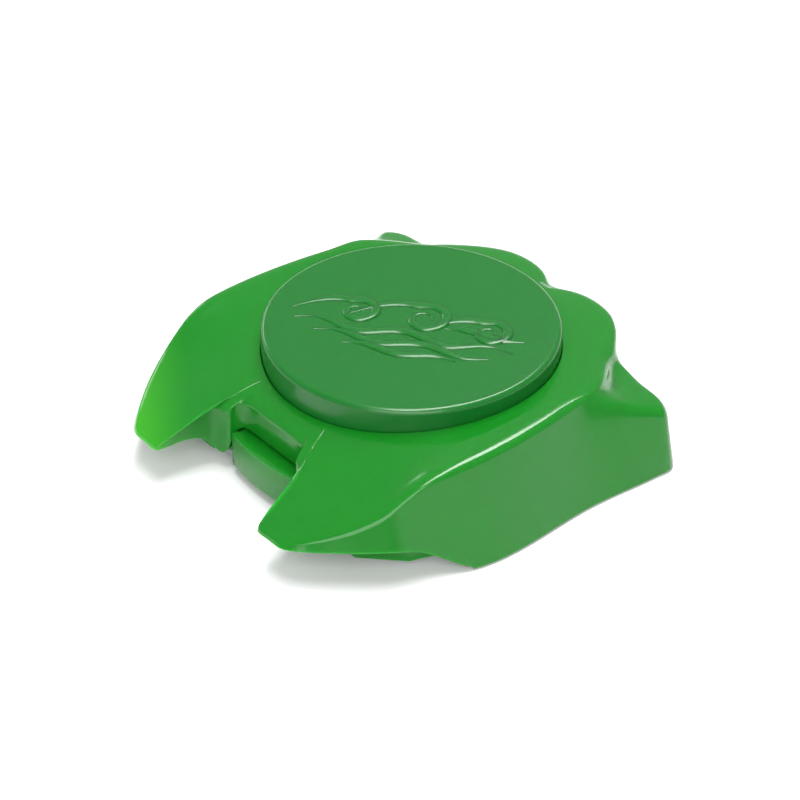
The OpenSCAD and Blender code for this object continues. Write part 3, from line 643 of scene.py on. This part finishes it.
# %% [markdown]
# A return spring is one wire wound round and round. Its end turns lie close together so that it
# stands straight. The tree winds a spiral, sets the heights of its turns with a curve that is
# flat at both ends, and sweeps the wire along it. On the real thing it shortens as the disc goes
# down.

# %% Helpers for sweeps and copies
def join_nodes(tree, *geometries):
    """Joins geometries into one."""
    joined = tree.nodes.new("GeometryNodeJoinGeometry")
    for geometry in reversed(geometries):
        tree.links.new(geometry, joined.inputs[0])
    return joined.outputs[0]


def stand_on_points(tree, given, geometry):
    """One copy of the geometry on each point that the tree is given."""
    stand = tree.nodes.new("GeometryNodeInstanceOnPoints")
    tree.links.new(given.outputs["Geometry"], stand.inputs["Points"])
    tree.links.new(geometry, stand.inputs["Instance"])
    return stand.outputs["Instances"]


def swept(tree, path, radius, sides):
    """A round section of this radius along a path."""
    ring = tree.nodes.new("GeometryNodeCurvePrimitiveCircle")
    ring.inputs["Resolution"].default_value = sides
    tree.links.new(radius, ring.inputs["Radius"])
    sweep = tree.nodes.new("GeometryNodeCurveToMesh")
    sweep.inputs["Fill Caps"].default_value = True
    tree.links.new(path, sweep.inputs["Curve"])
    tree.links.new(ring.outputs["Curve"], sweep.inputs["Profile Curve"])
    return sweep.outputs["Mesh"]


# %% [markdown]
# The CAD model's springs are coils of a coarser wire. Their middles say where each one stands,
# and the box of one says how high it is. The three springs are one mesh.

# %% Wind the return springs
SPRING_SIZES = {"Coil Radius": 4.7 * MM, "Wire Radius": 0.45 * MM, "Turns": 6.5, "Height": 10.0 * MM}
END_TURNS = ((0.15, 0.035), (0.85, 0.965))
spring_tree, given = new_tree("coil_spring", SPRING_SIZES)
nodes, links = spring_tree.nodes, spring_tree.links
spiral = nodes.new("GeometryNodeCurveSpiral")
spiral.inputs["Resolution"].default_value = 40
links.new(given.outputs["Turns"], spiral.inputs["Rotations"])
links.new(given.outputs["Coil Radius"], spiral.inputs["Start Radius"])
links.new(given.outputs["Coil Radius"], spiral.inputs["End Radius"])
spiral.inputs["Height"].default_value = 0
along = nodes.new("GeometryNodeSplineParameter")
end_turns = nodes.new("ShaderNodeFloatCurve")
for x, y in END_TURNS:
    end_turns.mapping.curves[0].points.new(x, y)
rise = nodes.new("ShaderNodeMath")
rise.operation = "MULTIPLY"
lift = nodes.new("ShaderNodeCombineXYZ")
raise_turns = nodes.new("GeometryNodeSetPosition")
links.new(along.outputs["Factor"], end_turns.inputs["Value"])
links.new(end_turns.outputs[0], rise.inputs[0])
links.new(given.outputs["Height"], rise.inputs[1])
links.new(rise.outputs[0], lift.inputs["Z"])
links.new(spiral.outputs[0], raise_turns.inputs["Geometry"])
links.new(lift.outputs[0], raise_turns.inputs["Offset"])
wire = swept(spring_tree, raise_turns.outputs[0], given.outputs["Wire Radius"], 10)
finish_tree(spring_tree, stand_on_points(spring_tree, given, wire), spring_wire)
spring_low, spring_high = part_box("spring_front")
wire_r = SPRING_SIZES["Wire Radius"]
seats = [(x, y, z + wire_r) for node in ("spring_left", "spring_right", "spring_front")
         for x, y, z in places(node, 15 * MM)]
height = spring_high[2] - spring_low[2] - 2 * wire_r
springs = baked("return_springs", point_mesh("spring_seats", seats), spring_tree,
                {**SPRING_SIZES, "Height": height})
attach(springs, "housing")
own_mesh(springs)
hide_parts("spring_left", "spring_right", "spring_front")

# %% [markdown]
# One tree makes every screw: a head, a recess cut into it for the driver, a shank, and a thread
# wound round the shank. The recess is a star, which is a cross with four points and, with equal
# radii, a hexagon with three.

# %% A round post as nodes
def post(tree, radius, height, start=None, sides=32):
    """A round post of this radius and height whose foot stands at the height start, or at zero."""
    nodes, links = tree.nodes, tree.links
    column = nodes.new("GeometryNodeMeshCylinder")
    column.inputs["Vertices"].default_value = sides
    half = nodes.new("ShaderNodeMath")
    half.operation = "MULTIPLY_ADD"
    half.inputs[1].default_value = 0.5
    half.inputs[2].default_value = 0
    at = nodes.new("ShaderNodeCombineXYZ")
    shift = nodes.new("GeometryNodeTransform")
    links.new(radius, column.inputs["Radius"])
    links.new(height, column.inputs["Depth"])
    links.new(height, half.inputs[0])
    if start is not None:
        links.new(start, half.inputs[2])
    links.new(half.outputs[0], at.inputs["Z"])
    links.new(column.outputs["Mesh"], shift.inputs["Geometry"])
    links.new(at.outputs[0], shift.inputs["Translation"])
    return shift.outputs[0]


# %% [markdown]
# The head, the shank and the tip are three posts joined into one solid, and the driver's star is
# cut from the head. The thread is a ridge wound round what is below. Cutting a true thread would
# cost far more triangles for a screw that nobody sees from close by.

# %% Build the screw's tree
BIT_BELOW, BIT_DEPTH = -1 * MM, 0.9 * MM
SCREW_SIZES = {
    "Head Radius": 3.0 * MM, "Head Height": 1.4 * MM, "Shank Radius": 1.5 * MM, "Length": 12.0 * MM,
    "Tip Radius": 1.5 * MM, "Tip Length": 1.0 * MM, "Thread From": 3.0 * MM, "Turns": 12.0,
    "Ridge": 0.16 * MM, "Recess Points": 4, "Recess Inner": 0.45 * MM, "Recess Outer": 1.7 * MM,
}
screw_tree, given = new_tree("screw", SCREW_SIZES)
nodes, links = screw_tree.nodes, screw_tree.links
head = post(screw_tree, given.outputs["Head Radius"], given.outputs["Head Height"])
shank = post(screw_tree, given.outputs["Shank Radius"], given.outputs["Length"])
tip = post(screw_tree, given.outputs["Tip Radius"], given.outputs["Tip Length"],
           given.outputs["Length"])
star = nodes.new("GeometryNodeCurveStar")
links.new(given.outputs["Recess Points"], star.inputs["Points"])
links.new(given.outputs["Recess Inner"], star.inputs["Inner Radius"])
links.new(given.outputs["Recess Outer"], star.inputs["Outer Radius"])
bit = nodes.new("GeometryNodeCurvePrimitiveLine")
bit.inputs["Start"].default_value = (0, 0, BIT_BELOW)
bit.inputs["End"].default_value = (0, 0, BIT_DEPTH)
driver = nodes.new("GeometryNodeCurveToMesh")
driver.inputs["Fill Caps"].default_value = True
links.new(bit.outputs[0], driver.inputs["Curve"])
links.new(star.outputs[0], driver.inputs["Profile Curve"])
cut = nodes.new("GeometryNodeMeshBoolean")
cut.operation = "DIFFERENCE"
cut.solver = "EXACT"
solid_screw = nodes.new("GeometryNodeMeshBoolean")
solid_screw.operation = "UNION"
solid_screw.solver = "EXACT"
for part in (head, shank, tip):
    links.new(part, solid_screw.inputs["Mesh 2"])
links.new(solid_screw.outputs["Mesh"], cut.inputs["Mesh 1"])
links.new(driver.outputs["Mesh"], cut.inputs["Mesh 2"])
winding = nodes.new("GeometryNodeCurveSpiral")
winding.inputs["Resolution"].default_value = 20
run = nodes.new("ShaderNodeMath")
run.operation = "SUBTRACT"
ends = nodes.new("ShaderNodeMath")
ends.operation = "ADD"
links.new(given.outputs["Length"], ends.inputs[0])
links.new(given.outputs["Tip Length"], ends.inputs[1])
links.new(ends.outputs[0], run.inputs[0])
links.new(given.outputs["Thread From"], run.inputs[1])
links.new(given.outputs["Turns"], winding.inputs["Rotations"])
links.new(given.outputs["Tip Radius"], winding.inputs["Start Radius"])
links.new(given.outputs["Tip Radius"], winding.inputs["End Radius"])
links.new(run.outputs[0], winding.inputs["Height"])
start_at = nodes.new("ShaderNodeCombineXYZ")
lift_thread = nodes.new("GeometryNodeTransform")
links.new(given.outputs["Thread From"], start_at.inputs["Z"])
links.new(winding.outputs[0], lift_thread.inputs["Geometry"])
links.new(start_at.outputs[0], lift_thread.inputs["Translation"])
thread = swept(screw_tree, lift_thread.outputs[0], given.outputs["Ridge"], 4)
whole_screw = join_nodes(screw_tree, cut.outputs["Mesh"], thread)
finish_tree(screw_tree, stand_on_points(screw_tree, given, whole_screw), zinc)
print(len(screw_tree.nodes), "nodes in the screw's tree")

# %% [markdown]
# The shell and the weight plate are held by screws with a cross recess, whose heads sit flush
# underneath. The disc hangs on three shoulder screws with a hexagon recess, which slide up and
# down with it. Only the sizes differ, so each set is one run of the same tree.

# %% Place the screws
SHARP = math.radians(40)
GUIDE_END = 5 * MM


def screws(name, node, body, reach, **sizes):
    """A set of screws at the places of a CAD node. Sizes are named as the tree's inputs."""
    values = {**SCREW_SIZES, **{key.replace("_", " ").title(): value for key, value in sizes.items()}}
    piece = baked(name, point_mesh(node + "_places", places(node, reach * MM)), screw_tree, values)
    piece.data.set_sharp_from_angle(angle=SHARP)
    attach(piece, body)
    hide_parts(node)


screws("shell_screw_set", "shell_screws", "housing", 8, length=10.9 * MM, thread_from=3.6 * MM)
screws("plate_screw_set", "plate_screws", "housing", 8,
       length=6.0 * MM, tip_length=0.9 * MM, thread_from=3.0 * MM, turns=6.0)
guide_low, guide_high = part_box("guide_screws")
shank_l = guide_high[2] - guide_low[2] - GUIDE_END
screws("guide_screw_set", "guide_screws", "press", 12,
       head_radius=4.5 * MM, head_height=1.8 * MM, shank_radius=2.5 * MM, length=shank_l,
       tip_radius=1.8 * MM, tip_length=4.9 * MM, thread_from=shank_l + 0.2 * MM, turns=7.0,
       recess_points=3, recess_inner=1.5 * MM, recess_outer=1.5 * MM)

# %% [markdown]
# A rubber foot is a glued disc. Rings moulded on its underside grip the floor and let air out.
# The tree makes a round pad and sweeps three rings below it.

# %% Make the rubber feet
FOOT_SIZES = {"Foot Radius": 7.0 * MM, "Foot Height": 1.6 * MM, "Ring": 0.5 * MM}
FOOT_SIDES = 48
RING_SHARES = (0.9, 0.62, 0.34)
foot_tree, given = new_tree("rubber_foot", FOOT_SIZES)
nodes, links = foot_tree.nodes, foot_tree.links
pad_height = nodes.new("ShaderNodeMath")
pad_height.operation = "SUBTRACT"
links.new(given.outputs["Foot Height"], pad_height.inputs[0])
links.new(given.outputs["Ring"], pad_height.inputs[1])
pad = post(foot_tree, given.outputs["Foot Radius"], pad_height.outputs[0],
           given.outputs["Ring"], FOOT_SIDES)
ring_paths = []
for share in RING_SHARES:
    width = nodes.new("ShaderNodeMath")
    width.operation = "MULTIPLY"
    width.inputs[1].default_value = share
    path = nodes.new("GeometryNodeCurvePrimitiveCircle")
    path.inputs["Resolution"].default_value = FOOT_SIDES
    links.new(given.outputs["Foot Radius"], width.inputs[0])
    links.new(width.outputs[0], path.inputs["Radius"])
    ring_paths.append(path.outputs["Curve"])
ring_lift = nodes.new("ShaderNodeCombineXYZ")
lift_rings = nodes.new("GeometryNodeTransform")
links.new(given.outputs["Ring"], ring_lift.inputs["Z"])
links.new(join_nodes(foot_tree, *ring_paths), lift_rings.inputs["Geometry"])
links.new(ring_lift.outputs[0], lift_rings.inputs["Translation"])
rings_mesh = swept(foot_tree, lift_rings.outputs[0], given.outputs["Ring"], 10)
whole_foot = join_nodes(foot_tree, pad, rings_mesh)
finish_tree(foot_tree, stand_on_points(foot_tree, given, whole_foot), rubber)
foot_points = point_mesh("foot_places", places("rubber_feet", 16 * MM))
feet = baked("ringed_feet", foot_points, foot_tree, FOOT_SIZES)
feet.data.set_sharp_from_angle(angle=SHARP)
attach(feet, "housing")
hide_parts("rubber_feet")

# %% [markdown]
# The socket's sleeve is threaded where it comes out of the wall, for its nut. A fine spiral, laid
# along the sleeve's axis, gives it the ridges that show beyond the nut.

# %% Thread the socket's sleeve
sleeve_low, sleeve_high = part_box("jack_sleeve")
nut_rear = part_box("jack_nut")[1][1]
THREAD_GAP = 0.15 * MM
THREAD_SIZES = {"Thread Radius": 3.0 * MM, "Ridge": 0.14 * MM, "Turns": 3.0,
                "Height": sleeve_high[1] - nut_rear - 2 * THREAD_GAP}
thread_tree, given = new_tree("sleeve_thread", THREAD_SIZES)
nodes, links = thread_tree.nodes, thread_tree.links
ridge_path = nodes.new("GeometryNodeCurveSpiral")
ridge_path.inputs["Resolution"].default_value = 48
links.new(given.outputs["Turns"], ridge_path.inputs["Rotations"])
links.new(given.outputs["Thread Radius"], ridge_path.inputs["Start Radius"])
links.new(given.outputs["Thread Radius"], ridge_path.inputs["End Radius"])
links.new(given.outputs["Height"], ridge_path.inputs["Height"])
lay = nodes.new("GeometryNodeTransform")
lay.inputs["Rotation"].default_value = (math.radians(-90), 0, 0)
links.new(swept(thread_tree, ridge_path.outputs[0], given.outputs["Ridge"], 4), lay.inputs["Geometry"])
finish_tree(thread_tree, stand_on_points(thread_tree, given, lay.outputs[0]), nickel)
jack_axis_z = (sleeve_low[2] + sleeve_high[2]) / 2
thread_foot = [(0, nut_rear + THREAD_GAP, jack_axis_z)]
jack_thread = baked("socket_thread", point_mesh("thread_place", thread_foot), thread_tree, THREAD_SIZES)
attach(jack_thread, "housing")

# %% [markdown]
# The CAD nodes have the right shapes already, but a real moulding or turned part never has a
# knife edge. A copy of such a node is merged into one skin, and a narrow bevel rounds its edges.

# %% Soften the edges of CAD pieces
SEAM, FLAT_ENOUGH, EDGE_ANGLE = 0.001 * MM, math.radians(1), math.radians(35)


def softened(node, body, width, material):
    """A copy of a CAD node with rounded edges, which replaces it."""
    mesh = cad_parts[node].data.copy()
    work = bmesh.new()
    work.from_mesh(mesh)
    bmesh.ops.remove_doubles(work, verts=work.verts, dist=SEAM)
    bmesh.ops.dissolve_limit(work, angle_limit=FLAT_ENOUGH, verts=work.verts, edges=work.edges)
    work.to_mesh(mesh)
    work.free()
    piece = bpy.data.objects.new(node + "_soft", mesh)
    bpy.context.collection.objects.link(piece)
    bevel = piece.modifiers.new("edges", "BEVEL")
    bevel.width = width * MM
    bevel.segments = 2
    bevel.limit_method = "ANGLE"
    bevel.angle_limit = EDGE_ANGLE
    evaluated = piece.evaluated_get(bpy.context.evaluated_depsgraph_get())
    baked_mesh = bpy.data.meshes.new_from_object(evaluated)
    bpy.data.objects.remove(piece)
    baked_mesh.materials.clear()
    baked_mesh.materials.append(material)
    baked_mesh.shade_smooth()
    baked_mesh.set_sharp_from_angle(angle=SHARP)
    piece = bpy.data.objects.new(node + "_soft", baked_mesh)
    bpy.context.collection.objects.link(piece)
    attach(piece, body)
    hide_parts(node)
    print(node, len(baked_mesh.polygons), "faces")


for node, width, material, slot in [
    ("base_tray", 0.35, shell_green, "tray_green"),
    ("jack_body", 0.25, phenolic, "case_black"), ("jack_sleeve", 0.12, nickel, "jack_nickel"),
    ("jack_nut", 0.15, nickel, "jack_nickel"), ("switch_case", 0.2, phenolic, "case_black"),
    ("switch_cover", 0.2, cover_grey, "cover_grey"), ("lead_clip", 0.2, acetal, "bush_white"),
]:
    softened(node, "housing", width, material)

# %% [markdown]
# Every CAD piece that nothing has replaced keeps its mesh and gets the finish of what it is made
# of.

# %% Paint the CAD pieces
paint = {
    "ballast_plate": sheet_steel, "stop_pads": rubber, "guide_bushes": acetal,
    "actuator_screw": zinc, "actuator_nut": zinc, "switch_bracket": sheet_steel,
    "switch_plunger": button_red, "switch_lever": spring_wire, "switch_pivot_pin": zinc,
    "switch_terminals": brass, "switch_screws": zinc, "jack_washer": nickel,
    "jack_tip_spring": brass, "jack_sleeve_lug": brass,
    "lead_tip": wire_red, "lead_sleeve": wire_black,
}
for node, material in paint.items():
    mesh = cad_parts[node].data
    mesh.materials.clear()
    mesh.materials.append(material)
print(len(paint), "pieces painted")

# %% [markdown]
# The floor is a plain pale sheet. A soft box overhead draws the bright lines along the rims, a
# strip on the left lights the far side, a large box in front fills the near side, and the white
# surroundings do the rest.

# %% Floor and surroundings
FLOOR = 6
WORLD_STRENGTH = 0.55

floor_mesh = bpy.data.meshes.new("floor")
corners = [(-FLOOR, -FLOOR, 0), (FLOOR, -FLOOR, 0), (FLOOR, FLOOR, 0), (-FLOOR, FLOOR, 0)]
floor_mesh.from_pydata(corners, [], [(0, 1, 2, 3)])
floor = bpy.data.objects.new("floor", floor_mesh)
bpy.context.collection.objects.link(floor)
white_sheet, _ = finish_of("white_sheet", (0.80, 0.80, 0.80), 0.9, grain=40, relief=0.0)
floor_mesh.materials.append(white_sheet)

world = bpy.data.worlds.new("studio")
world.use_nodes = True
background = world.node_tree.nodes["Background"]
background.inputs["Color"].default_value = (1, 1, 1, 1)
background.inputs["Strength"].default_value = WORLD_STRENGTH
bpy.context.scene.world = world
print("floor", 2 * FLOOR, "m wide, surroundings at", WORLD_STRENGTH)

# %% [markdown]
# A soft box is a rectangle of even light that faces the switch. Its power follows from its area,
# so it can be made larger for a softer highlight without getting brighter to look at.

# %% Lights
middle = Vector((0, axis_y, 15 * MM))


def soft_box(name, place, width, height, radiance):
    """A rectangular light at a place in metres, turned towards the middle of the switch."""
    light = bpy.data.lights.new(name, "AREA")
    light.shape = "RECTANGLE"
    light.size, light.size_y = width, height
    light.energy = radiance * math.pi * width * height
    lamp = bpy.data.objects.new(name, light)
    lamp.location = Vector(place)
    lamp.rotation_euler = (middle - lamp.location).to_track_quat("-Z", "Y").to_euler()
    bpy.context.collection.objects.link(lamp)


soft_box("overhead", (-0.08, 0.14, 0.8), 0.2, 1.0, 17)
soft_box("left_strip", (-1.1, 0.10, 0.40), 0.5, 0.12, 8)
soft_box("front_fill", (1.00, -0.90, 0.80), 1.3, 1.3, 4.2)
print("lights set")

# %% [markdown]
# The camera looks down at the switch from its right front, from well away with a long lens, so
# that upright edges stay nearly parallel. Its distance and shift are in radii of the disc.

# %% Camera
AZIMUTH, ELEVATION = math.radians(50.5), math.radians(35.5)
DISTANCE, ASIDE, ALOFT = 18, -0.07532, -0.50792
FOCAL_LENGTH, SENSOR = 122.35, 36

level = math.cos(ELEVATION)
back = Vector((math.sin(AZIMUTH) * level, -math.cos(AZIMUTH) * level, math.sin(ELEVATION)))
right_way = Vector((math.cos(AZIMUTH), math.sin(AZIMUTH), 0))
up_way = back.cross(right_way)
aim = Vector((0, axis_y, disc_top * MM))
lens = bpy.data.cameras.new("camera")
lens.lens = FOCAL_LENGTH
lens.sensor_width = SENSOR
camera = bpy.data.objects.new("camera", lens)
camera.location = aim + disc_r * MM * (ASIDE * right_way + ALOFT * up_way + DISTANCE * back)
camera.rotation_euler = (-back).to_track_quat("-Z", "Y").to_euler()
bpy.context.collection.objects.link(camera)
bpy.context.scene.camera = camera
bpy.context.scene.view_settings.view_transform = "Standard"
print("camera at", [round(c, 3) for c in camera.location])
